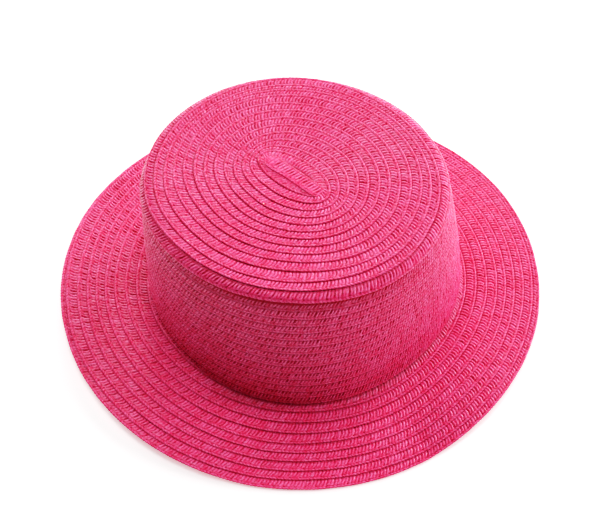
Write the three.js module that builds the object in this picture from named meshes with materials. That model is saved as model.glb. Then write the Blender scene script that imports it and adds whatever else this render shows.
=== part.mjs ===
import * as THREE from 'three';
import { mergeVertices } from 'three/addons/utils/BufferGeometryUtils.js';

// A straw hat with a flat tip, an upright side and a flat brim, open below for the head.
// Millimetres, +Z up, standing on its brim. The origin is on the surface under the middle of the brim.

// Driving dimensions.
const strawThickness = 2; // two layers of sewn braid
const seamGap = 0.3; // between neighbouring pieces
const mergeWithin = 1e-4;
const facets = { around: 96, dome: 3, shoulder: 5, side: 7, brim: 7 };

const tipTop = 105.3; // highest point of the outer face
const tipEdgeRadius = 80.8; // where the shoulder starts to turn down
const tipEdgeHeight = 104.2;
const shoulderRadius = 86.7;
const shoulderHeight = 96.5;
const shoulderTurn = { radius: 86.4, height: 103.8 }; // the shoulder curves towards this point
const sideBulge = { radius: 93.5, height: 52 }; // the side curves towards this point
const footRadius = 95.6;
const footHeight = 5; // outer face where the side meets the brim
const brimRadius = 148.4;
const brimDroop = 3; // the brim's edge lies this much lower than its inner border
const flatFrom = 0.85; // share of the brim's width after which it lies level

// How each section departs from a round, upright hat: its centre, how much longer it is along ovalAt than
// across it (half the difference of the half widths), and how far it is pinched between the quarters.
const sections = {
  tip: { x: -2.5, y: -1.3, oval: 2.9, ovalAt: -19, pinch: 0.4 },
  foot: { x: 4, y: 3.3, oval: 1.4, ovalAt: 37, pinch: 1.4 },
  edge: { x: 0, y: 0, oval: 1.5, ovalAt: 0, pinch: 0 },
};

// The brim's edge rises and falls around the hat. Where the sum is under zero the brim lies on the surface.
const brimRise = 2.76;
const brimWaves = [
  { lobes: 2, height: 3.4, highAt: 6.3 },
  { lobes: 3, height: 0.74, highAt: -26.5 },
  { lobes: 4, height: 0.88, highAt: -34.7 },
  { lobes: 5, height: 0.84, highAt: 30.2 },
  { lobes: 6, height: 0.2, highAt: 16.3 },
  { lobes: 7, height: 0.28, highAt: 13.8 },
];

const { clamp, degToRad, lerp } = THREE.MathUtils;

// Height of the brim's edge over the surface at an angle in radians.
function edgeLift(angle) {
  let lift = brimRise;
  for (const { lobes, height, highAt } of brimWaves) {
    lift += height * Math.cos(lobes * (angle - degToRad(highAt)));
  }
  return Math.max(0, lift);
}

// Share of the way from the crown's foot to the brim's edge, and how far the brim has settled there.
const outShare = (radius) => clamp((radius - footRadius) / (brimRadius - footRadius), 0, 1);
const settledShare = (out) => Math.sin((Math.PI / 2) * Math.min(1, out / flatFrom));

// Mixes two sections: ovals are added as vectors, so that a turned oval stays one.
function mixSections(from, to, share) {
  const ovalVector = ({ oval, ovalAt }) => [
    oval * Math.cos(2 * degToRad(ovalAt)),
    oval * Math.sin(2 * degToRad(ovalAt)),
  ];
  const [fromAlong, fromAcross] = ovalVector(from);
  const [toAlong, toAcross] = ovalVector(to);
  return {
    x: lerp(from.x, to.x, share),
    y: lerp(from.y, to.y, share),
    along: lerp(fromAlong, toAlong, share),
    across: lerp(fromAcross, toAcross, share),
    pinch: lerp(from.pinch, to.pinch, share),
  };
}

// Moves a point of the round, upright hat to its place on the oval, leaning, wavy one.
function shapePoint(point) {
  const angle = Math.atan2(point.y, point.x);
  const radius = Math.hypot(point.x, point.y);
  const up = clamp((point.z - footHeight) / (tipEdgeHeight - footHeight), 0, 1);
  const out = outShare(radius);
  const section = out > 0
    ? mixSections(sections.foot, sections.edge, out)
    : mixSections(sections.foot, sections.tip, up);
  const reach = Math.min(1, radius / shoulderRadius);
  const shaped = radius + reach * (
    section.along * Math.cos(2 * angle)
    + section.across * Math.sin(2 * angle)
    + section.pinch * Math.cos(4 * angle)
  );
  point.set(
    section.x + shaped * Math.cos(angle),
    section.y + shaped * Math.sin(angle),
    point.z + edgeLift(angle) * settledShare(out),
  );
}

// Spins a closed profile of [radius, height] points round the axis, then shapes it.
function shapedShell(profile) {
  const points = profile.map(([radius, height]) => new THREE.Vector2(radius, height));
  const geometry = new THREE.LatheGeometry(points, facets.around);
  geometry.rotateX(Math.PI / 2);
  geometry.deleteAttribute('normal');
  geometry.deleteAttribute('uv');
  const position = geometry.getAttribute('position');
  const point = new THREE.Vector3();
  for (let i = 0; i < position.count; i += 1) {
    point.fromBufferAttribute(position, i);
    shapePoint(point);
    position.setXYZ(i, point.x, point.y, point.z);
  }
  const merged = mergeVertices(geometry, mergeWithin);
  merged.computeVertexNormals();
  return merged;
}

// The face at a distance inside a line of [radius, height] points, square to the line.
function insideFace(line, distance) {
  return line.map(([radius, height], i) => {
    const [radiusBefore, heightBefore] = line[Math.max(0, i - 1)];
    const [radiusAfter, heightAfter] = line[Math.min(line.length - 1, i + 1)];
    const along = new THREE.Vector2(radiusAfter - radiusBefore, heightAfter - heightBefore).normalize();
    return [Math.max(0, radius + along.y * distance), height - along.x * distance];
  });
}

const pointsOf = (curve, steps) => curve.getPoints(steps).map(({ x, y }) => [x, y]);
const startsOnAxis = ([, height]) => [0, height];

// Lines of the outer face, from the middle of the tip outwards and down.
const tipDome = new THREE.QuadraticBezierCurve(
  new THREE.Vector2(0, tipTop),
  new THREE.Vector2(tipEdgeRadius / 2, tipTop),
  new THREE.Vector2(tipEdgeRadius, tipEdgeHeight),
);
const shoulder = new THREE.QuadraticBezierCurve(
  new THREE.Vector2(tipEdgeRadius, tipEdgeHeight),
  new THREE.Vector2(shoulderTurn.radius, shoulderTurn.height),
  new THREE.Vector2(shoulderRadius, shoulderHeight),
);
const side = new THREE.QuadraticBezierCurve(
  new THREE.Vector2(shoulderRadius, shoulderHeight - seamGap),
  new THREE.Vector2(sideBulge.radius, sideBulge.height),
  new THREE.Vector2(footRadius, footHeight + seamGap),
);

function crownTip() {
  const outer = [...pointsOf(tipDome, facets.dome), ...pointsOf(shoulder, facets.shoulder).slice(1)];
  const inner = insideFace(outer, strawThickness);
  inner[0] = startsOnAxis(inner[0]);
  inner[inner.length - 1][1] = shoulderHeight;
  return shapedShell([...inner, ...outer.reverse()]);
}

function crownSide() {
  const outer = pointsOf(side, facets.side);
  const inner = insideFace(outer, strawThickness);
  inner[0][1] = outer[0][1];
  inner[inner.length - 1][1] = outer[outer.length - 1][1];
  const closed = [...inner, ...outer.reverse()];
  return shapedShell([...closed, closed[0]]);
}

function brimRing() {
  const radii = [footRadius - strawThickness];
  for (let i = 0; i <= facets.brim; i += 1) {
    radii.push(lerp(footRadius, brimRadius, i / facets.brim));
  }
  const outer = radii.map((radius) => [radius, footHeight - brimDroop * settledShare(outShare(radius))]);
  const inner = outer.map(([radius, height]) => [radius, height - strawThickness]);
  const closed = [...inner, ...outer.reverse()];
  return shapedShell([...closed, closed[0]]);
}

// Sewn paper braid: matt, dyed right through.
const straw = { color: 0xe0356f, roughness: 0.7, metalness: 0 };

const pieces = [
  { name: 'crown_tip', geometry: crownTip(), material: straw },
  { name: 'crown_side', geometry: crownSide(), material: straw },
  { name: 'brim', geometry: brimRing(), material: straw },
];

const hat = new THREE.Group();
for (const { name, geometry, material } of pieces) {
  const mesh = new THREE.Mesh(geometry, new THREE.MeshStandardMaterial(material));
  mesh.name = name;
  hat.add(mesh);
}

export default hat;
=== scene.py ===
import math

import bmesh
import bpy
import numpy as np
from mathutils import Euler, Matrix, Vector


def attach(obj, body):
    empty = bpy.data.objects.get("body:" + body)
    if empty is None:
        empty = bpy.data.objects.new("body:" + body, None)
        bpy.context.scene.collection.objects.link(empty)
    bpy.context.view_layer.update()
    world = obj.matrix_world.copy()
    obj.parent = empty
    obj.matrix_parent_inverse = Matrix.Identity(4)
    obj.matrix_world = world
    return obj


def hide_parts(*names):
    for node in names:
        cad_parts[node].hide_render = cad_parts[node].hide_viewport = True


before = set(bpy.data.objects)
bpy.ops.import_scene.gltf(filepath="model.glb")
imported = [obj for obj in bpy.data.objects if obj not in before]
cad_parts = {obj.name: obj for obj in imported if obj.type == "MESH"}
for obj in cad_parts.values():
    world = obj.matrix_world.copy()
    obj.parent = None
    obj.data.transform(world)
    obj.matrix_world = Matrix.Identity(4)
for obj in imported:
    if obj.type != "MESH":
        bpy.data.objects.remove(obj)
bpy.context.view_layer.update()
scene = bpy.context.scene
mm = 0.001


# small helpers

def smooth(x, low=0.0, high=1.0):
    t = np.clip((x - low) / (high - low), 0, 1)
    return t * t * (3 - 2 * t)


def mix(a, b, share):
    return a + (b - a) * share


def within(x, start, fullFrom, fullTo, end):
    # 1 in the middle, 0 outside, soft at both ends
    return smooth(x, start, fullFrom) * smooth(x, end, fullTo)


noiseReach = 21000  # mm of braid that the seeded noise covers
strandCount = 12000  # more strands than the braid has


class Wobble:
    # smooth seeded noise along a line, about -1 to 1
    def __init__(self, seed, step):
        self.step = step
        self.values = np.random.default_rng(seed).uniform(-1, 1, int(noiseReach / step) + 4)

    def at(self, s):
        x = np.clip(s / self.step, 0, len(self.values) - 2.001)  # short of the last value
        i = x.astype(int)
        return mix(self.values[i], self.values[i + 1], smooth(x - i))


def perStrand(seed, index):
    # one seeded value for each strand or stitch, -1 to 1
    table = np.random.default_rng(seed).uniform(-1, 1, strandCount)
    return table[np.clip(index, 0, strandCount - 1).astype(int)]


def addObject(name, data):
    made = bpy.data.objects.new(name, data)
    scene.collection.objects.link(made)
    return made


# the hat's form, in mm

hat = {
    "tipTop": 105.3,
    # the outline's points, as radius and height
    "tipEdge": (80.8, 104.2),
    "shoulderTurn": (86.4, 103.8),
    "shoulder": (86.7, 96.5),
    "sideBulge": (93.5, 52.0),
    "foot": (95.6, 5.0),
    "footCurve": 1.6,  # how softly the side turns into the brim
    "brimRadius": 148.4,
    "brimDroop": 3.0,
    "brimRise": 2.76,  # lifts the whole edge, before the waves
    "flatFrom": 0.85,  # droop and waves are whole from this share of the brim's width on
}
# at each level: how far aside its middle lies, how oval it is and at which angle, and how square
sections = {
    "tip": {"x": -2.5, "y": -1.3, "oval": 2.9, "ovalAt": -19, "pinch": 0.4},
    "foot": {"x": 4.0, "y": 3.3, "oval": 1.4, "ovalAt": 37, "pinch": 1.4},
    "edge": {"x": 0.0, "y": 0.0, "oval": 1.5, "ovalAt": 0, "pinch": 0.0},
}
# how often the brim rises and falls around, how far, and where it is high
brimWaves = [
    {"lobes": 2, "height": 3.4, "highAt": 6.3},
    {"lobes": 3, "height": 0.74, "highAt": -26.5},
    {"lobes": 4, "height": 0.88, "highAt": -34.7},
    {"lobes": 5, "height": 0.84, "highAt": 30.2},
    {"lobes": 6, "height": 0.2, "highAt": 16.3},
    {"lobes": 7, "height": 0.28, "highAt": 13.8},
]
# the line that all rows lie on, from the middle of the tip to the brim's edge
outline = {
    "step": 0.1,
    "curvePoints": 400,
    "brimPoints": 500,
    "beyondEdge": 8,  # it runs on this far past the edge
    "softReach": (14, 7),  # the foot's curve fades in over these distances from the foot
    "softWidths": 3,  # it is evened out over this many footCurves, to each side
    "brimFrom": 5,  # this far past the foot the radius only grows
    "normalPoints": 25,  # its normals are evened out over this many points
}


def edgeLift(angle):
    lift = np.full_like(angle, hat["brimRise"])
    for wave in brimWaves:
        lift += wave["height"] * np.cos(wave["lobes"] * (angle - math.radians(wave["highAt"])))
    return np.maximum(0, lift)


def outShare(r):
    return np.clip((r - hat["foot"][0]) / (hat["brimRadius"] - hat["foot"][0]), 0, 1)


def settledShare(out):
    return np.sin(math.pi / 2 * np.minimum(1, out / hat["flatFrom"]))


def shapePoint(angle, r, z):
    # from the round, upright hat to the oval, leaning, wavy one
    up = np.clip((z - hat["foot"][1]) / (hat["tipEdge"][1] - hat["foot"][1]), 0, 1)
    out = outShare(r)

    def blend(value):
        tip, foot, edge = [value(sections[k]) for k in ("tip", "foot", "edge")]
        return mix(mix(foot, tip, up), edge, out)

    along = blend(lambda s: s["oval"] * math.cos(2 * math.radians(s["ovalAt"])))
    across = blend(lambda s: s["oval"] * math.sin(2 * math.radians(s["ovalAt"])))
    pinch = blend(lambda s: s["pinch"])
    reach = np.minimum(1, r / hat["shoulder"][0])
    shaped = r + reach * (along * np.cos(2 * angle) + across * np.sin(2 * angle) + pinch * np.cos(4 * angle))
    x = blend(lambda s: s["x"]) + shaped * np.cos(angle)
    y = blend(lambda s: s["y"]) + shaped * np.sin(angle)
    return np.stack([x, y, z + edgeLift(angle) * settledShare(out)], -1)


def curve(start, turn, end):
    t = np.linspace(0, 1, outline["curvePoints"])[:, None]
    a, b, c = np.array(start), np.array(turn), np.array(end)
    return a * (1 - t) ** 2 + b * 2 * t * (1 - t) + c * t ** 2


def evened(values, weights):
    # each value becomes the weighted mean of its neighbours
    padded = np.pad(values, len(weights) // 2, mode="edge")
    return np.convolve(padded, weights / weights.sum(), "valid")


def outerLine():
    # the outer face as radius and height, a step apart along the line
    top = (0.0, hat["tipTop"])
    radii = np.linspace(hat["foot"][0], hat["brimRadius"] + outline["beyondEdge"], outline["brimPoints"])
    brim = np.stack([radii, hat["foot"][1] - hat["brimDroop"] * settledShare(outShare(radii))], -1)
    line = np.concatenate([
        curve(top, (hat["tipEdge"][0] / 2, hat["tipTop"]), hat["tipEdge"]),
        curve(hat["tipEdge"], hat["shoulderTurn"], hat["shoulder"])[1:],
        curve(hat["shoulder"], hat["sideBulge"], hat["foot"])[1:],
        brim[1:],
    ])
    gone = np.concatenate([[0], np.cumsum(np.hypot(*np.diff(line, axis=0).T))])
    w = np.arange(0, gone[-1], outline["step"])
    r, z = np.interp(w, gone, line[:, 0]), np.interp(w, gone, line[:, 1])
    footAt = w[np.argmin(np.hypot(r - hat["foot"][0], z - hat["foot"][1]))]
    widths = outline["softWidths"]
    spread = round(widths * hat["footCurve"] / outline["step"])
    bell = np.exp(-np.linspace(-widths, widths, 2 * spread + 1) ** 2 / 2)
    near = smooth(np.abs(w - footAt), *outline["softReach"])
    return w, mix(r, evened(r, bell), near), mix(z, evened(z, bell), near), footAt


lineW, lineR, lineZ, footAt = outerLine()
onBrim = lineW > footAt + outline["brimFrom"]
edgeAt = float(np.interp(hat["brimRadius"], lineR[onBrim], lineW[onBrim]))
slopeR, slopeZ = np.gradient(lineR), np.gradient(lineZ)
steep = np.hypot(slopeR, slopeZ)
normalWeights = np.ones(outline["normalPoints"])
normalR, normalZ = evened(-slopeZ / steep, normalWeights), evened(slopeR / steep, normalWeights)


def hatPoint(angle, w, height):
    # a point at a height over the outer face, w out from the middle of the tip
    r = np.interp(w, lineW, lineR) + height * np.interp(w, lineW, normalR)
    z = np.interp(w, lineW, lineZ) + height * np.interp(w, lineW, normalZ)
    return shapePoint(angle, r, z)


print("hat form ready: foot at", round(footAt, 1), "edge at", round(edgeAt, 1))


# how the braid winds

# the rows' outer edge from the middle of the core, by turn, towards four sides
reaches = [
    {"turn": 0, "right": 23.0, "near": 6.4, "left": 23.6, "far": 10.9},
    {"turn": 3, "right": 37.2, "near": 23.5, "left": 33.0, "far": 29.3},
    {"turn": 6, "right": 52.3, "near": 40.9, "left": 50.5, "far": 48.4},
    {"turn": 9, "right": 69.9, "near": 58.1, "left": 67.7, "far": 66.9},
    {"turn": 12, "right": 88.5, "near": 77.2, "left": 82.0, "far": 81.3},
]
winding = {
    "coreAt": (-5.8, -0.3),
    "coreAngle": -43.0,  # the core's right end points this way
    "tightest": 9.5,  # the braid bends no tighter than its own width
    "shapedFrom": 8.0,  # turns over which the core's form gives way to the hat's
    "shapedTo": 12.0,
    "driftTurns": (-0.3, 1.8),  # turns over which the sewing begins to drift
    "frontShare": 0.139,  # the front lies this share of a turn on from the core's end
    "tipRow": 12,  # the row that turns over the tip's edge
    "tipRowAt": 81.3,
    "tipPitch": 4.9,
    "startTurn": -0.02,
    "endTurn": 37.63,
    "joinsEdgeFrom": 36.35,  # the last row runs out to the brim's edge
    "lastRoundFrom": 36.64,
    "turnStep": 0.0005,
    "middle": 3.0,  # the braid's length is taken this far inward from its outer edge
    "facet": 6.5,  # the stiff braid turns the shoulder in flat facets this wide
    "facetRows": (11.0, 12.0, 15.5, 17.0),
    "facetShare": 0.5,
}
# what the rows show at the front, in mm, from the shoulder to the brim's edge
shownRows = [
    {"rows": 1, "width": 6.6},
    {"rows": 1, "width": 7.9},  # the row that stands off
    {"rows": 1, "width": 6.5},
    {"rows": 12, "width": 6.0},  # the side
    {"rows": 5, "width": 6.6},  # the brim
    {"rows": 4, "width": 5.6},
    {"rows": 1, "width": 7.2},
]
# how far out the rows run, in rows, by direction: the sewing was guided by hand
driftTowards = {"nearRight": 0.0, "front": 0.14, "nearLeft": 0.27, "left": 0.38, "farLeft": 0.5,
                "back": 0.65, "right": 0.83, "turnRight": 0.95}  # shares of a turn on from the core's end
drift = [
    {"row": 4, "nearRight": 0.0, "front": 0.0, "nearLeft": 0.1, "left": 0.4,
     "farLeft": 0.0, "back": 0.0, "right": 0.2, "turnRight": 0.0},
    {"row": 8, "nearRight": 0.0, "front": -0.3, "nearLeft": 0.1, "left": 0.4,
     "farLeft": 0.1, "back": -0.2, "right": 0.3, "turnRight": 0.1},
    {"row": 10, "nearRight": 0.1, "front": -0.5, "nearLeft": -0.2, "left": 0.2,
     "farLeft": 0.4, "back": 0.2, "right": 0.3, "turnRight": 0.1},
    {"row": 12, "nearRight": 0.4, "front": 0.0, "nearLeft": 0.0, "left": 0.3,
     "farLeft": 0.6, "back": 0.9, "right": 0.1, "turnRight": 0.2},
    {"row": 14, "nearRight": 0.5, "front": 0.0, "nearLeft": 0.1, "left": 0.5,
     "farLeft": 0.7, "back": 0.8, "right": 0.4, "turnRight": 0.5},
    {"row": 17, "nearRight": 0.0, "front": 0.0, "nearLeft": 0.2, "left": 0.4,
     "farLeft": 0.5, "back": 0.5, "right": 0.1, "turnRight": -0.2},
    {"row": 21, "nearRight": -0.4, "front": 0.0, "nearLeft": 0.1, "left": 0.3,
     "farLeft": 0.3, "back": 0.3, "right": -0.2, "turnRight": -1.0},
    {"row": 25, "nearRight": 0.0, "front": 0.1, "nearLeft": 0.3, "left": 0.5,
     "farLeft": 0.6, "back": 0.6, "right": 0.0, "turnRight": -0.8},
    {"row": 29, "nearRight": 0.4, "front": 0.0, "nearLeft": 0.4, "left": 0.6,
     "farLeft": 1.1, "back": 1.1, "right": 0.2, "turnRight": 0.3},
    {"row": 35, "nearRight": 0.4, "front": 0.1, "nearLeft": 0.2, "left": 0.3,
     "farLeft": 0.6, "back": 0.7, "right": 0.7, "turnRight": 0.5},
]
coreAngle = math.radians(winding["coreAngle"])
coreU = np.array([math.cos(coreAngle), math.sin(coreAngle)])
coreV = np.array([-math.sin(coreAngle), math.cos(coreAngle)])
turns = [row["turn"] for row in reaches]
sides = ("right", "near", "left", "far")
reachOf = {side: np.polyfit(turns, [row[side] for row in reaches], 3) for side in sides}
shownWidths = np.repeat([row["width"] for row in shownRows], [row["rows"] for row in shownRows])
frontTurns = winding["tipRow"] + winding["frontShare"] + np.arange(len(shownWidths) + 1)
frontEdges = winding["tipRowAt"] + np.concatenate([[0], np.cumsum(shownWidths)])


def rowAt(level):
    # distance of a row's outer edge from the middle of the tip
    inner = winding["tipRowAt"] - winding["tipPitch"] * (frontTurns[0] - level)
    outer = np.interp(level, frontTurns, frontEdges)
    return np.minimum(np.where(level < frontTurns[0], inner, outer), edgeAt)


def levelAt(turn):
    # the row a place counts as, with the drift of hand-guided sewing
    rows, share, drifted = [row["row"] for row in drift], turn % 1, 0
    names, starts = list(driftTowards), list(driftTowards.values())
    for here, there, start, end in zip(names, names[1:] + names[:1], starts, starts[1:] + [1.0]):
        lanes = [np.interp(turn, rows, [row[name] for row in drift]) for name in (here, there)]
        drifted = np.where((share >= start) & (share < end), mix(*lanes, smooth(share, start, end)), drifted)
    return turn + drifted * smooth(turn, *winding["driftTurns"])


def fromCore(u, v):
    # x and y of a place that lies u along the core and v across it
    return [winding["coreAt"][k] + u * coreU[k] + v * coreV[k] for k in (0, 1)]


def domeHeight(x, y):
    share = np.hypot(x - sections["tip"]["x"], y - sections["tip"]["y"]) / hat["tipEdge"][0]
    return hat["tipTop"] - (hat["tipTop"] - hat["tipEdge"][1]) * share ** 2


def rowPoint(turn, inward, height):
    # a point on the spiral, inward from the row's outer edge
    phase, level = 2 * math.pi * turn, levelAt(turn)
    right, near, left, far = [np.polyval(reachOf[side], level) for side in sides]
    halfLong, halfWide = (right + left) / 2, (far + near) / 2
    midU, midV = (right - left) / 2, (far - near) / 2
    u, v = midU + halfLong * np.cos(phase), midV - halfWide * np.sin(phase)
    bend = np.maximum(halfWide ** 2 / halfLong, winding["tightest"])
    inU, inV = midU + (halfLong - bend) * np.cos(phase) - u, midV - v
    length = np.hypot(inU, inV)
    u, v = u + inward * inU / length, v + inward * inV / length
    x, y = fromCore(u, v)
    onTip = np.stack([x, y, domeHeight(x, y) + height], -1)
    w = mix(rowAt(level), edgeAt, smooth(turn, winding["joinsEdgeFrom"], winding["lastRoundFrom"]))
    angle = coreAngle - phase
    shaped = hatPoint(angle, w - inward, height)
    facetEnds = [hatPoint(angle, w - back, height) for back in (0, winding["facet"])]
    facet = mix(*facetEnds, (np.minimum(inward, winding["facet"]) / winding["facet"])[..., None])
    flat = within(level, *winding["facetRows"]) * (inward <= winding["facet"])
    shaped = mix(shaped, facet, winding["facetShare"] * flat[..., None])
    return mix(onTip, shaped, smooth(level, winding["shapedFrom"], winding["shapedTo"])[..., None])


spiralTurns = np.arange(winding["startTurn"], winding["endTurn"], winding["turnStep"])
spiralLine = rowPoint(spiralTurns, np.full_like(spiralTurns, winding["middle"]), np.zeros_like(spiralTurns))
spiralGone = np.concatenate([[0], np.cumsum(np.linalg.norm(np.diff(spiralLine, axis=0), axis=1))])
print("braid length, m:", round(spiralGone[-1] * mm, 2))


def turnAt(s):
    return np.interp(s, spiralGone, spiralTurns)


def lengthAt(turn):
    return float(np.interp(turn, spiralTurns, spiralGone))


# the braid

stitches = {
    "pitch": 6.1,
    "length": 5.3,
    "thick": 0.3,
    "sides": 5,
    "cuts": 3,  # points along a stitch, between its ends
    "inward": 1.7,  # the stitching runs this far in from a row's outer edge
    "height": 0.02,
    "sink": 0.5,  # how deep a stitch's ends dive into the braid
    "diveCurve": 4,
    "shift": 0.5,  # how far stitches lie off their places, along the row and across it
    "aside": 0.1,
    "skew": 0.05,
    "spare": 0.1,  # share of a stitch left free at a row's end
    "dimple": 0.4,  # the braid is drawn in between two stitches
    "dimpleLong": 0.55,
    "dimpleWide": 0.5,
}
strandColumns = 3
braid = {
    "cell": 4.15,  # two strands
    "gaps": (0.0, 0.14, 0.37, 0.5, 0.64, 0.87),  # columns in a cell: gap, strand, strand, gap, strand, strand
    "deep": (-1.0, 0.0, 0.08, -0.72, 0.06, 0.0),  # how high each of them stands
    "thinnest": -0.8,  # the upper face sinks no lower in a gap
    "depthSpread": 0.25,  # strands differ by this share of their depth, and by this many mm
    "uneven": 0.09,
    "lift": 0.1,
    "shingle": 0.13,  # slope of a row: it lies on the next one out
    "shingleTurns": (0.3, 1.3),
    "openPart": 4.6,  # strands lean and curve over this width, in from the stitching
    "slant": 1.5,
    "slantSpread": 0.22,
    "pair": 0.3,  # neighbours lean towards each other by this much
    "bow": 0.6,
    "rim": 1.1,  # width of the outer edge, where the strands turn back
    "rimBack": 0.9,
    "knob": 0.13,  # how far each strand stands out there
    "sideTurns": (12.5, 13.5, 28.0, 29.0),
    "sideSlant": 2.5,
    "sideBow": 0.15,
    "sideOpen": 0.18,  # the strands of the side stand further apart
    "wobble": 0.22,
    "loose": 0.14,
    "looseReach": 6,
    "proud": 0.85,  # one row at the shoulder stands out over the next
    "proudTurns": (12.45, 12.75, 13.5, 13.8),
    "standsOff": 0.7,  # more at the front, where it stands off the next row
    "standsOffTurns": (12.9, 13.06, 13.2, 13.36),
    "proudReach": (6.0, 2.0),
    "firstShown": 8.0,  # how much shows before there is a row above
    "shownLimits": (3.6, 8.3),
    "shownTurns": (0.95, 1.08),
    "paintedShadowWidth": 0.65,  # width of the painted shadow line under the row above, on the tip and the brim
    "sidePaintedShadowWidth": 1.3,
    "proudPaintedShadowWidth": 2.0,  # added under the row that stands off: a wider painted shadow there
    "firstTurns": (1.6, 0.8),  # the first rows are woven closer
    "firstClosed": 0.55,
    "startTurns": (0.6, 0.45),  # the start lies smooth and low beside the core
    "startClosed": 0.3,
    "startFlat": 0.7,
    "startSunk": 0.1,
    "endsClear": (1.0, 0.5),  # kept free at the braid's start and end
    "floorClear": 0.05,
}
# parts where the strands lie further apart (+) or closer (-): the side they are on, in degrees from +x,
# and the turns they run over
zones = {
    "leftTip": {"towards": 222, "reach": (-0.1, 0.7), "turns": (12.4, 11.6), "weave": -0.5},
    "leftBrim": {"towards": 185, "reach": (0.0, 0.8), "turns": (27.5, 28.5), "weave": 0.35},
    "nearBrim": {"towards": 248, "reach": (0.25, 0.8), "turns": (28.4, 29.4), "weave": -0.4,
                 "flat": 0.35, "paintedShadowWidth": 0.6},  # flatter too, with a wider painted shadow line under the row above
}
# the braid's section: (inward from the outer edge, height, how much the strands show)
section = [
    (0.00, -0.42, 0.0), (0.26, -0.12, 0.1), (0.74, 0.20, 0.3), (1.25, 0.10, 0.4), (1.75, -0.04, 0.45),
    (2.40, 0.12, 0.9), (3.50, 0.22, 1.0), (4.80, 0.22, 1.0), (5.60, -0.06, 0.5), (9.00, -0.55, 0.0),
    (6.50, -0.92, 0.0), (3.50, -0.92, 0.0), (0.90, -0.90, 0.0), (0.15, -0.75, 0.0),
]
# three of the points follow the row above: (place in the section, share of the open width, mm beyond)
followers = [(6, 0.6, 0.0), (7, 1.0, -0.8), (8, 1.0, 0.05)]
topPoints = 10  # the first points of the section are its upper face
edgeNoise = {"long": Wobble(seed=3, step=38), "short": Wobble(seed=5, step=8)}
looseNoise = {"long": Wobble(seed=11, step=55), "short": Wobble(seed=13, step=12)}
weldWithin = 2e-7  # metres


def gridMesh(name, columns, ring):
    # an open grid whose vertices carry their own column and ring number
    bm = bmesh.new()
    bmesh.ops.create_grid(bm, x_segments=columns, y_segments=ring, size=1)
    mesh = bpy.data.meshes.new(name)
    bm.to_mesh(mesh)
    bm.free()
    flat = np.empty(len(mesh.vertices) * 3)
    mesh.vertices.foreach_get("co", flat)
    flat = flat.reshape(-1, 3)
    column = np.rint((flat[:, 0] + 1) / 2 * columns).astype(int)
    row = np.rint((flat[:, 1] + 1) / 2 * ring).astype(int)
    return mesh, column, row


def finishMesh(mesh, points, facts):
    # moves the vertices, closes the surface and keeps the facts as attributes
    for key, values in facts.items():
        attribute = mesh.attributes.new(key, "FLOAT", "POINT")
        attribute.data.foreach_set("value", values.astype(np.float32))
    mesh.vertices.foreach_set("co", (points * mm).astype(np.float32).ravel())
    bm = bmesh.new()
    bm.from_mesh(mesh)
    bmesh.ops.remove_doubles(bm, verts=bm.verts, dist=weldWithin)
    bmesh.ops.holes_fill(bm, edges=[e for e in bm.edges if e.is_boundary], sides=0)
    bmesh.ops.recalc_face_normals(bm, faces=bm.faces)
    for face in bm.faces:
        face.smooth = True
    bm.to_mesh(mesh)
    bm.free()
    return mesh


def edgeWobble(s):
    return braid["wobble"] * (edgeNoise["long"].at(s) * 0.8 + edgeNoise["short"].at(s) * 0.45)


def looseness(s, inward):
    loose = braid["loose"] * (looseNoise["long"].at(s) + 0.6 * looseNoise["short"].at(s))
    return loose * np.clip(1 - inward / braid["looseReach"], 0, 1)


def onSide(turn):
    return within(turn, *braid["sideTurns"])


def inZone(name, turn):
    zone = zones[name]
    facing = np.cos(coreAngle - 2 * math.pi * turn - math.radians(zone["towards"]))
    return smooth(facing, *zone["reach"]) * smooth(turn, *zone["turns"])


def standsOff(turn):
    return within(turn, *braid["standsOffTurns"])


def proud(turn, inward):
    height = braid["proud"] * within(turn, *braid["proudTurns"]) + braid["standsOff"] * standsOff(turn)
    return height * smooth(inward, *braid["proudReach"])


def openWidth(turn):
    # how much of a row shows beside the row above it
    zero = np.zeros_like(turn)
    width = np.linalg.norm(rowPoint(turn, zero, zero) - rowPoint(turn - 1, zero, zero), axis=1)
    return mix(braid["firstShown"], np.clip(width, *braid["shownLimits"]), smooth(turn, *braid["shownTurns"]))


def alongAt(column):
    # how far along the braid a column lies
    cell, place = np.divmod(column, len(braid["gaps"]))
    return (cell + np.array(braid["gaps"])[place]) * braid["cell"]


def sectionAt(column, ring, width):
    # a point of the section: how far inward, how high, how much the strands show and how deep they go
    inward = np.array([p[0] for p in section])[ring]
    for place, share, beyond in followers:
        inward = np.where(ring == place, width * share + beyond, inward)
    base = np.array([p[1] for p in section])[ring]
    shows = np.array([p[2] for p in section])[ring]
    strand = column // strandColumns
    deep = np.array(braid["deep"])[column % len(braid["deep"])]
    deep = deep * (1 + braid["depthSpread"] * perStrand(21, strand)) + braid["uneven"] * perStrand(22, strand)
    return inward, base, shows, deep


def strandLean(turn, strand, inward):
    # how far a strand has moved along the row, at this place across it
    side, share = onSide(turn), np.clip((inward - stitches["inward"]) / braid["openPart"], 0, 1)
    lean = mix(braid["slant"], braid["sideSlant"], side) * (0.5 - share)
    lean = lean - mix(braid["bow"], braid["sideBow"], side) * np.sin(math.pi * share)
    lean = lean * (1 + braid["slantSpread"] * perStrand(31, strand))
    return lean + braid["pair"] * (strand % 2 - 0.5) * (share - 0.5)


def dimple(s, inward):
    # the hollow between two stitches
    off = ((s / stitches["pitch"]) % 1 - 0.5) * stitches["pitch"] / stitches["dimpleLong"]
    aside = (inward - stitches["inward"]) / stitches["dimpleWide"]
    return stitches["dimple"] * np.exp(-off ** 2 / 2) * np.exp(-aside ** 2)


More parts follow.
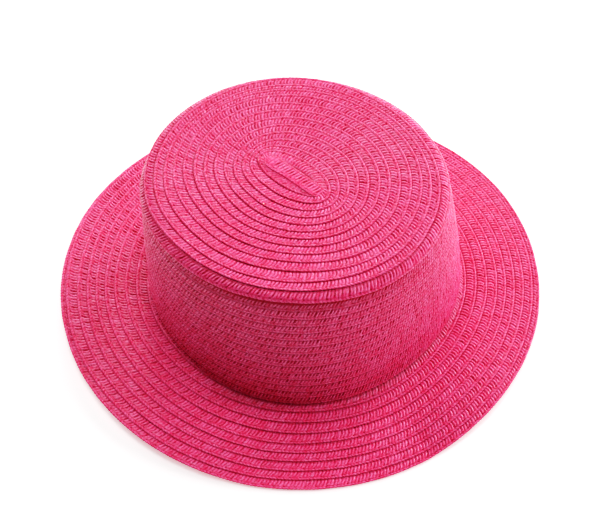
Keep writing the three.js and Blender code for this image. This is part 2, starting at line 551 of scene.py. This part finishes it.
def weaveAt(turn, start):
    # how open the strands lie, 1 for the usual braid
    weave = 1 + braid["sideOpen"] * onSide(turn)
    for name in ("leftTip", "leftBrim"):
        weave = weave + zones[name]["weave"] * inZone(name, turn)
    weave = weave * (1 - braid["firstClosed"] * smooth(turn, *braid["firstTurns"]))
    return weave * (1 - braid["startClosed"] * start) + zones["nearBrim"]["weave"] * inZone("nearBrim", turn)


def paintedShadowWidthAt(turn):
    # how wide the painted shadow line is under the row above
    paintedShadowWidth = mix(braid["paintedShadowWidth"], braid["sidePaintedShadowWidth"], onSide(turn))
    paintedShadowWidth = paintedShadowWidth + braid["proudPaintedShadowWidth"] * standsOff(turn - 1)
    return paintedShadowWidth + zones["nearBrim"]["paintedShadowWidth"] * inZone("nearBrim", turn)


def windBraid(name, firstTurn, lastTurn):
    startCell, endCell = [round(lengthAt(turn) / braid["cell"]) for turn in (firstTurn, lastTurn)]
    cellColumns = len(braid["gaps"])
    mesh, column, row = gridMesh(name, (endCell - startCell) * cellColumns, len(section))
    column = column + startCell * cellColumns
    ring, strand, s = row % len(section), column // strandColumns, alongAt(column)
    turn = turnAt(s)
    width = openWidth(turn)
    inward, base, shows, deep = sectionAt(column, ring, width)
    start = smooth(turn, *braid["startTurns"])
    nearFlat = zones["nearBrim"]["flat"] * inZone("nearBrim", turn)
    deep = deep * (1 - braid["startFlat"] * start) * (1 - nearFlat)
    onRim = np.clip(1 - inward / braid["rim"], 0, 1)
    knob = braid["knob"] * np.cos(2 * math.pi * (column % strandColumns) / strandColumns) * onRim
    along = s + strandLean(turn, strand, inward) - braid["rimBack"] * onRim
    along = np.clip(along, braid["endsClear"][0], spiralGone[-1] - braid["endsClear"][1])
    movedTurn = turnAt(along)
    shape = np.where(ring < topPoints, np.maximum(base + deep * shows, braid["thinnest"]), base)
    height = braid["lift"] + shape + looseness(along, inward)
    height = height - braid["shingle"] * smooth(movedTurn, *braid["shingleTurns"]) * inward
    height = height - dimple(s, inward) + proud(movedTurn, inward) - braid["startSunk"] * start
    points = rowPoint(movedTurn, inward + edgeWobble(along) + knob, height)
    points[:, 2] = np.maximum(points[:, 2], braid["floorClear"])
    facts = {"along": s, "across": inward, "open": width - inward, "weave": weaveAt(turn, start)}
    finishMesh(mesh, points, {**facts, "paintedShadowWidth": paintedShadowWidthAt(turn)})
    print(name, len(mesh.polygons) * 2, "triangles")
    return addObject(name, mesh)


cuts = {"side": 13.4, "lowerSide": 20.8, "brim": 28.2, "outerBrim": 33.2}  # turns at which the pieces meet
braidPieces = {
    "tipBraid": windBraid("tip_braid", 0.0, cuts["side"]),
    "sideBraidUpper": windBraid("side_braid_upper", cuts["side"], cuts["lowerSide"]),
    "sideBraidLower": windBraid("side_braid_lower", cuts["lowerSide"], cuts["brim"]),
    "brimBraidInner": windBraid("brim_braid_inner", cuts["brim"], cuts["outerBrim"]),
    "brimBraidOuter": windBraid("brim_braid_outer", cuts["outerBrim"], winding["endTurn"]),
}


# the core strip on the tip

core = {
    "from": -19.0,  # its ends along its line, measured from the winding's coreAt
    "to": 22.6,
    "width": 9.0,
    "aside": -2.4,
    "shown": 7.5,
    "paintedShadowLine": 7.4,  # from here on it gets the same painted shadow as a row beside the one above
    "lift": 0.74,
    "tilt": 0.02,
    "crown": 0.3,
    "lean": 2.0,
    "strands": 0.8,
    "wovenAlong": (-18.0, -9.0),  # its left end is smooth
    "wovenAcross": (2.6, 4.6),  # smooth at its lower edge, woven like the rows at its upper one
    "leastWoven": 0.08,
    "weave": (0.1, 1.2),
    "bulge": 1.1,  # its left part lies nearer
    "bulgeAt": -10.5,
    "bulgeReach": 7.0,
    "bulgeFade": 0.7,
    # both ends narrow and lie lower
    "left": {"reach": 5, "narrow": 0.45, "sunk": 0.35},
    "right": {"reach": 3, "narrow": 0.25, "sunk": 0.7},
}


def coreStrip():
    length = core["to"] - core["from"]
    cells = round(length / braid["cell"])
    mesh, column, row = gridMesh("core_braid", cells * len(braid["gaps"]), len(section))
    ring, s = row % len(section), alongAt(column)
    inward, base, shows, deep = sectionAt(column, ring, np.full(len(s), core["shown"]))
    share = inward / max(p[0] for p in section)
    u = core["from"] + s * length / (cells * braid["cell"])
    woven = mix(core["leastWoven"], 1, smooth(inward, *core["wovenAcross"])) * smooth(u, *core["wovenAlong"])
    left = smooth(u, core["from"] + core["left"]["reach"], core["from"])
    right = smooth(u, core["to"] - core["right"]["reach"], core["to"])
    width = core["width"] * (1 - core["left"]["narrow"] * left ** 2 - core["right"]["narrow"] * right)
    bulge = core["bulge"] * np.exp(-((u - core["bulgeAt"]) / core["bulgeReach"]) ** 2)
    v = core["aside"] + core["width"] / 2 + (share - 0.5) * width - bulge * (1 - core["bulgeFade"] * share)
    u = u + core["lean"] * (share - 0.5) * (1 - left) * (1 - right)
    onTop = base * core["crown"] + deep * shows * core["strands"] * woven
    height = core["lift"] + np.where(ring < topPoints, onTop, base)
    height = height - core["right"]["sunk"] * right - core["left"]["sunk"] * left - core["tilt"] * inward
    x, y = fromCore(u, v)
    points = np.stack([x, y, domeHeight(x, y) + height], -1)
    facts = {"along": s, "across": inward, "open": core["paintedShadowLine"] - inward}
    finishMesh(mesh, points, {**facts, "weave": mix(*core["weave"], woven), "paintedShadowWidth": np.zeros(len(s))})
    print("core_braid", len(mesh.polygons) * 2, "triangles")
    return addObject("core_braid", mesh)


braidPieces["coreBraid"] = coreStrip()


# the machine stitches

def straightRow(name, count):
    # a straight row of stitches as one array, with a mesh of its own
    thick = stitches["thick"] / 2
    bm = bmesh.new()
    bmesh.ops.create_cone(
        bm, cap_ends=True, segments=stitches["sides"], radius1=thick, radius2=thick, depth=stitches["length"],
        matrix=Euler((0, math.radians(90), 0)).to_matrix().to_4x4(),
    )
    lengthwise = [e for e in bm.edges if abs(e.verts[0].co.x - e.verts[1].co.x) > stitches["length"] / 2]
    bmesh.ops.subdivide_edges(bm, edges=lengthwise, cuts=stitches["cuts"])
    bmesh.ops.triangulate(bm, faces=[f for f in bm.faces if len(f.verts) > 4])
    mesh = bpy.data.meshes.new(name)
    bm.to_mesh(mesh)
    bm.free()
    piece = addObject(name, mesh)
    array = piece.modifiers.new("row", "ARRAY")
    array.use_relative_offset = False
    array.use_constant_offset = True
    array.constant_offset_displace = (stitches["pitch"], 0, 0)
    array.count = count
    done = bpy.data.meshes.new_from_object(piece.evaluated_get(bpy.context.evaluated_depsgraph_get()))
    piece.modifiers.clear()
    piece.data = done
    done.name = name
    return piece


def sewRows(name, firstTurn, lastTurn):
    pitch = stitches["pitch"]
    start = (round(lengthAt(firstTurn) / pitch) + 0.5) * pitch + braid["slant"] / 2
    piece = straightRow(name, round((lengthAt(lastTurn) - start) / pitch - stitches["spare"]))
    mesh = piece.data
    flat = np.empty(len(mesh.vertices) * 3)
    mesh.vertices.foreach_get("co", flat)
    x, y, z = flat.reshape(-1, 3).T
    number = np.floor(x / pitch + 0.5)
    local = x - number * pitch
    # the ends dive into the braid
    dive = np.clip(np.abs(local) / (stitches["length"] / 2), 0, 1) ** stitches["diveCurve"] * stitches["sink"]
    s = start + pitch / 2 + x + stitches["shift"] * perStrand(41, number)
    across = stitches["inward"] + y + stitches["aside"] * perStrand(42, number)
    across = across + stitches["skew"] * local * perStrand(43, number)
    turn = turnAt(s)
    height = braid["lift"] + stitches["height"] + z - dive + looseness(s, across) - braid["shingle"] * across
    points = rowPoint(turn, across + edgeWobble(s), height + proud(turn, across))
    mesh.vertices.foreach_set("co", (points * mm).astype(np.float32).ravel())
    mesh.polygons.foreach_set("use_smooth", np.ones(len(mesh.polygons), dtype=bool))
    mesh.flip_normals()  # the spiral mirrors the row, so its faces are turned outwards again
    mesh.update()
    print(name, sum(len(p.vertices) - 2 for p in mesh.polygons), "triangles")
    return piece


endsFree = 0.05  # turns at the braid's start and end without stitches
stitchPieces = {
    "tipStitches": sewRows("tip_stitches", endsFree, cuts["side"]),
    "sideStitches": sewRows("side_stitches", cuts["side"], cuts["brim"]),
    "brimStitches": sewRows("brim_stitches", cuts["brim"], winding["endTurn"] - endsFree),
}


# materials

class Wire:
    # a socket that takes part in plain arithmetic
    def __init__(self, graph, socket):
        self.graph, self.socket = graph, socket

    def math(self, operation, other=0.0):
        return self.graph.node("ShaderNodeMath", {"operation": operation}, {0: self, 1: other})

    def __add__(self, other):
        return self.math("ADD", other)

    def __sub__(self, other):
        return self.math("SUBTRACT", other)

    def __mul__(self, other):
        return self.math("MULTIPLY", other)

    def __truediv__(self, other):
        return self.math("DIVIDE", other)

    def __radd__(self, other):
        return self + other

    def __rmul__(self, other):
        return self * other

    def __rsub__(self, other):
        return (self * -1.0) + other

    def floor(self):
        return self.math("FLOOR")

    def fract(self):
        return self.math("FRACT")

    def least(self, other):
        return self.math("MINIMUM", other)

    def most(self, other):
        return self.math("MAXIMUM", other)

    def abs(self):
        return self.math("ABSOLUTE")

    def step(self, low, high):
        return self.graph.node(
            "ShaderNodeMapRange", {"interpolation_type": "SMOOTHSTEP"},
            {"Value": self, "From Min": low, "From Max": high},
        )


class Graph:
    def __init__(self, name):
        self.material = bpy.data.materials.new(name)
        self.material.use_nodes = True
        self.tree = self.material.node_tree
        self.tree.nodes.clear()

    def node(self, kind, settings=None, values=None, out=0):
        made = self.tree.nodes.new(kind)
        for key, value in (settings or {}).items():
            setattr(made, key, value)
        for key, value in (values or {}).items():
            if isinstance(value, Wire):
                self.tree.links.new(value.socket, made.inputs[key])
            else:
                made.inputs[key].default_value = value
        return Wire(self, made.outputs[out] if made.outputs else None)

    def colour(self, factor, a, b):
        made = self.tree.nodes.new("ShaderNodeMix")
        made.data_type = "RGBA"
        for socket, value in ((made.inputs[0], factor), (made.inputs[6], a), (made.inputs[7], b)):
            if isinstance(value, Wire):
                self.tree.links.new(value.socket, socket)
            else:
                socket.default_value = (*value, 1) if isinstance(value, tuple) else value
        return Wire(self, made.outputs[2])

    def vector(self, x, y, z=0.0):
        return self.node("ShaderNodeCombineXYZ", None, {0: x, 1: y, 2: z})

    def noise(self, vector, scale, detail=2.0, rough=0.5):
        return self.node(
            "ShaderNodeTexNoise", {"noise_dimensions": "3D"},
            {"Vector": vector, "Scale": scale, "Detail": detail, "Roughness": rough},
        )

    def random(self, number, seed):
        # one value for each whole number
        return self.node("ShaderNodeTexWhiteNoise", {"noise_dimensions": "2D"},
                         {"Vector": self.vector(number, seed)})

    def attribute(self, name):
        return self.node("ShaderNodeAttribute", {"attribute_name": name}, None, 2)

    def finish(self, values):
        shader = self.node("ShaderNodeBsdfPrincipled", None, values)
        self.node("ShaderNodeOutputMaterial", None, {"Surface": shader})
        return self.material


straw = {
    "base": (0.77, 0.017, 0.102),
    # lighter straw, for random tone and for painted highlights
    "pale": (0.96, 0.15, 0.38),
    # the colour of painted shade: in gaps, pricks and the groove, at outer edges and under the row above
    "gapShade": (0.36, 0.003, 0.024),
    "lint": (0.95, 0.75, 0.6),
    "roughness": 0.55,
    "roughSpread": 0.3,
    "specular": 0.15,
    "coat": 0.5,
    "coatRoughness": 0.3,
    "bump": 0.5,
    "bumpDepth": 0.00025,
    # how far strands, their fibres and whole stretches differ in lightness
    "toneSpread": 0.36,
    "fibreSpread": 2.7,
    "cloudSpread": 0.08,
    # what makes the straw lighter: a share everywhere, and painted highlights at the rim, on a strand's round
    # back and beside the row above
    "lightness": 0.2,
    "paintedRimHighlight": 0.26,
    "paintedStrandHighlight": 0.26,
    "paintedHighlightBesideRow": 0.1,
    "closedShade": 0.1,
    "rim": (0.95, 1.4),  # where the rim ends, in mm from the row's outer edge
    "turnedBack": (0.9, 1.4),
    "gapHalf": 0.46,  # half width of a gap between strands, mm
    "rimGapHalf": 0.2,
    "leastGapHalf": 0.03,
    "gapOpens": (1.9, 3.5),
    # how dark the painted shade is in a gap, in a prick of the needle, along the stitched groove and at the
    # row's outer edge
    "paintedGapShade": 0.97,
    "paintedHoleShade": 0.9,
    "paintedGrooveShade": 0.15,
    "paintedEdgeShade": 0.2,
    "paintedShadowUnderRow": (0.35, 0.4, 0.95),  # painted shadow under the row above: least, more where it is deep under the row that stands off, and most
    "speckleDark": (0.42, 0.3),
    # painted shadow over the open strip under the row that stands off
    "paintedShadowUnderProudRow": 0.17,
    "lintScale": 55.0,
    "lintSize": (0.016, 0.026),
    "lintShows": 0.7,
}


def strawPlaces(g):
    # where a point lies on the braid, and the seeded values of its strand
    at = {name: g.attribute(name) for name in ("along", "across", "open", "weave", "paintedShadowWidth")}
    along, across, strandWidth = at["along"], at["across"], braid["cell"] / 2
    strandAt = along / strandWidth
    phase = strandAt.fract()
    at["strand"] = (strandAt + 0.5).floor()
    at["toGap"] = phase.least(1.0 - phase) * strandWidth
    at["deepGap"] = (along / braid["cell"] + 0.25).fract().math("LESS_THAN", 0.5)
    at["tone"] = g.random(strandAt.floor(), 3.0)
    at["gapTone"] = g.random(at["strand"], 8.0)
    at["ragged"] = g.noise(g.vector(along, across * 1.2, 9.0), 1.0, 2.0, 0.6)
    at["cloud"] = g.noise(g.vector(along * 0.02, across * 0.1), 1.0, 2.0)
    at["turned"] = 1.0 - across.step(*straw["turnedBack"])  # where the strands turn back, at the rim
    at["closed"] = (1.0 - at["weave"]).most(0.0)
    # how much wider the painted shadow is, under the row that stands off
    at["deep"] = (at["paintedShadowWidth"] - braid["sidePaintedShadowWidth"]).most(0.0)
    return at


def gapShadeMask(at):
    # painted shade in the gaps between strands; gaps are spindles: widest in the open part of a row, nearly
    # closed from the stitching to the rim
    across, turned, deepGap, gapTone = at["across"], at["turned"], at["deepGap"], at["gapTone"]
    half = (deepGap * 0.35 + 0.75) * (gapTone * 0.8 + 0.6) * straw["gapHalf"]
    half = half * across.step(*straw["gapOpens"]) * at["open"].step(0.1, 1.0)
    half = half + turned * straw["rimGapHalf"] + straw["leastGapHalf"]
    gapShade = (1.0 - (at["toGap"] / half).step(0.5, 1.6)) * across.step(0.2, 0.5)
    gapShade = gapShade * (across.step(1.7, 2.6) * 0.6 + 0.4 + turned * 0.3) * (deepGap * 0.12 + 0.45 + gapTone * 0.45)
    ragged = at["ragged"].step(0.36, 0.56) * 0.5 + 0.5
    return gapShade * ragged * (at["weave"] + turned * (1.0 - at["weave"]))


def strawFibre(g, at, onRim):
    # flecks of the twisted paper, along the strands and along the rim
    along, across = at["along"], at["across"]
    fibre = g.noise(g.vector(along, across * 0.6, at["strand"]), 1.0, 3.0, 0.6)
    rimFibre = g.noise(g.vector(along * 0.8, across * 1.5), 1.0, 3.0, 0.6)
    return fibre * (1.0 - onRim * 0.7) + rimFibre * onRim * 0.7


def toneAndPaintedLight(at, fibre, onRim):
    # 0 for the base colour, 1 for the pale one: random tone, plus painted highlights at the rim, on a
    # strand's round back and beside the row above
    light = (at["tone"] - 0.5) * straw["toneSpread"] + (fibre - 0.5) * straw["fibreSpread"]
    light = light + (at["cloud"] - 0.5) * straw["cloudSpread"] + straw["lightness"]
    # painted highlights on the rim's strand tops, on a strand's round back and beside the row above
    light = light + onRim * at["toGap"].step(0.2, 0.8) * straw["paintedRimHighlight"]
    light = light + at["toGap"].step(0.25, 0.95) * at["across"].step(1.9, 2.6) * straw["paintedStrandHighlight"]
    return light + at["open"].step(2.4, 0.9) * straw["paintedHighlightBesideRow"] - at["closed"] * straw["closedShade"]


def paintedShadeAndFlecks(g, at, gapShade):
    # 1 for the painted shade colour: painted shade in gaps, pricks and the groove, at the outer edge and
    #                                 under the row above, and small dark flecks of the straw itself
    across, deep = at["across"], at["deep"]
    stitchPhase = (at["along"] / stitches["pitch"]).fract()
    # painted shade in the needle's pricks, along the stitched groove and at the row's outer edge
    prick = 1.0 - ((stitchPhase - 0.5).abs() * stitches["pitch"]).step(0.3, 0.9)
    groove = 1.0 - (across - stitches["inward"]).abs().step(0.25, 0.6)
    dark = (gapShade * straw["paintedGapShade"]).most(prick * groove * straw["paintedHoleShade"])
    dark = dark.most(groove * straw["paintedGrooveShade"]).most((1.0 - across.step(0.05, 0.4)) * straw["paintedEdgeShade"])
    # painted shadow line under the row above
    paintedShadowLine = 1.0 - (at["open"] - at["paintedShadowWidth"]).step(-0.4, 0.4)
    least, more, most = straw["paintedShadowUnderRow"]
    dark = dark.most(paintedShadowLine * (at["ragged"].step(0.3, 0.6) * 0.4 + least + deep * more).least(most))
    fleck = g.noise(g.vector(at["along"] * 0.8, across * 0.9, 4.0), 1.0, 2.0).step(0.5, 0.68)
    fleck = fleck * (1.0 - across.step(2.0, 3.2) * 0.3)
    dark = dark.most(fleck * (straw["speckleDark"][0] + at["closed"] * straw["speckleDark"][1]))
    # painted shadow over the strip under the row that stands off
    return dark + deep * (1.0 - dark) * straw["paintedShadowUnderProudRow"]


def strawMaterial():
    g = Graph("straw")
    at = strawPlaces(g)
    onRim = (1.0 - at["across"].step(*straw["rim"])) * at["across"].step(0.1, 0.5)
    fibre, gapShade = strawFibre(g, at, onRim), gapShadeMask(at)
    light, dark = toneAndPaintedLight(at, fibre, onRim), paintedShadeAndFlecks(g, at, gapShade)
    colour = g.colour(light.most(0.0).least(1.0), straw["base"], straw["pale"])
    # mix in the painted shade and the dark flecks
    colour = g.colour(dark.least(1.0), colour, straw["gapShade"])
    # a few bits of pale lint
    place = g.node("ShaderNodeTexCoord", None, None, 3)
    lint = g.node("ShaderNodeTexVoronoi", {"voronoi_dimensions": "3D"},
                  {"Vector": place, "Scale": straw["lintScale"]})
    lint = (1.0 - lint.step(*straw["lintSize"])) * at["cloud"].step(0.52, 0.58)
    colour = g.colour(lint * straw["lintShows"], colour, straw["lint"])
    bump = g.node("ShaderNodeBump", None, {
        "Strength": straw["bump"], "Distance": straw["bumpDepth"], "Height": fibre * 0.7 - gapShade * 0.6,
    })
    return g.finish({
        "Base Color": colour,
        "Roughness": straw["roughness"] + (fibre - 0.5) * straw["roughSpread"] + dark * straw["roughSpread"],
        "Specular IOR Level": straw["specular"],
        "Coat Weight": straw["coat"] * (1.0 - dark) * fibre.step(0.3, 0.6),
        "Coat Roughness": straw["coatRoughness"],
        "Normal": bump,
    })


thread = {"base": (0.68, 0.022, 0.11), "dark": (0.5, 0.008, 0.05), "roughness": 0.6, "fluff": 900.0}


def threadMaterial():
    g = Graph("thread")
    place = g.node("ShaderNodeTexCoord", None, None, 3)
    fluff = g.noise(place, thread["fluff"])
    colour = g.colour(fluff, thread["dark"], thread["base"])
    return g.finish({"Base Color": colour, "Roughness": thread["roughness"]})


strawLook, threadLook = strawMaterial(), threadMaterial()
for piece in braidPieces.values():
    piece.data.materials.append(strawLook)
for piece in stitchPieces.values():
    piece.data.materials.append(threadLook)

replaced = {
    "tipBraid": ["crown_tip"],
    "sideBraidUpper": ["crown_side"],
    "brimBraidInner": ["brim"],
}
for key, piece in {**braidPieces, **stitchPieces}.items():
    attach(piece, "root")
    if key in replaced:
        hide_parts(*replaced[key])
print("materials and slots done")


# floor, light, camera

studio = {
    "floor": (0.93, 0.93, 0.93),
    "floorGlow": 0.74,
    "world": 0.1,
    "floorSize": 6,
    "away": 2.0,  # the lights stand this far from the point that they shine on
    "aimHeight": 0.03,
    "size": 0.9,
    # name, turned from +x, height above the floor in degrees, watts
    "lights": [("overhead", 0, 90, 37.0), ("right", 0, 18, 51.0), ("backRight", 45, 18, 66.0),
               ("back", 90, 18, 38.0), ("backLeft", 135, 18, 40.0), ("backLeftHigh", 135, 48, 8.0),
               ("backRightHigh", 45, 48, 10.0)],
    "curveTo": 2.5,  # the brightest light that the tone curve takes in
    # the tone curve of the picture: light in, light out
    "toneCurve": [(0.0, 0.0), (0.05, 0.016), (0.1, 0.043), (0.2, 0.113), (0.5, 0.334),
                  (0.8, 0.527), (1.1, 0.678), (1.5, 0.816), (1.83, 0.895), (2.3, 1.0)],
}


def addFloor():
    bm = bmesh.new()
    bmesh.ops.create_grid(bm, x_segments=1, y_segments=1, size=studio["floorSize"])
    mesh = bpy.data.meshes.new("floor")
    bm.to_mesh(mesh)
    bm.free()
    g = Graph("floor")
    look = {"Base Color": (*studio["floor"], 1), "Roughness": 0.9, "Emission Color": (1, 1, 1, 1)}
    mesh.materials.append(g.finish({**look, "Emission Strength": studio["floorGlow"]}))
    addObject("floor", mesh)


def addLight(name, turned, raised, power):
    turned, raised = math.radians(turned), math.radians(raised)
    at = Vector((math.cos(turned) * math.cos(raised), math.sin(turned) * math.cos(raised), math.sin(raised)))
    data = bpy.data.lights.new(name, "AREA")
    data.shape, data.size, data.energy = "DISK", studio["size"], power
    light = addObject(name, data)
    light.location = at * studio["away"] + Vector((0, 0, studio["aimHeight"]))
    light.rotation_euler = (-at).to_track_quat("-Z", "Y").to_euler()


addFloor()
for row in studio["lights"]:
    addLight(*row)
world = bpy.data.worlds.new("studio")
world.use_nodes = True
sky = world.node_tree.nodes["Background"]
sky.inputs["Color"].default_value = (1, 1, 1, 1)
sky.inputs["Strength"].default_value = studio["world"]
scene.world = world

camera = {"at": (-0.0003, -0.5316, 0.7297), "turned": (36.856, 0.340, -0.495), "lens": 85.55, "sensor": 36}
lensData = bpy.data.cameras.new("camera")
lensData.lens, lensData.sensor_width = camera["lens"], camera["sensor"]
cameraPiece = addObject("camera", lensData)
cameraPiece.location = camera["at"]
cameraPiece.rotation_euler = [math.radians(a) for a in camera["turned"]]
scene.camera = cameraPiece
scene.view_settings.view_transform = "Standard"
scene.view_settings.use_curve_mapping = True
tone = scene.view_settings.curve_mapping
tone.clip_max_x = tone.clip_max_y = studio["curveTo"]
combined = tone.curves[3]
for number, (lightIn, lightOut) in enumerate(studio["toneCurve"]):
    # the first two points are there already
    point = combined.points[number] if number < 2 else combined.points.new(lightIn, lightOut)
    point.location = (lightIn, lightOut)
tone.update()
print("floor, lights and camera done")
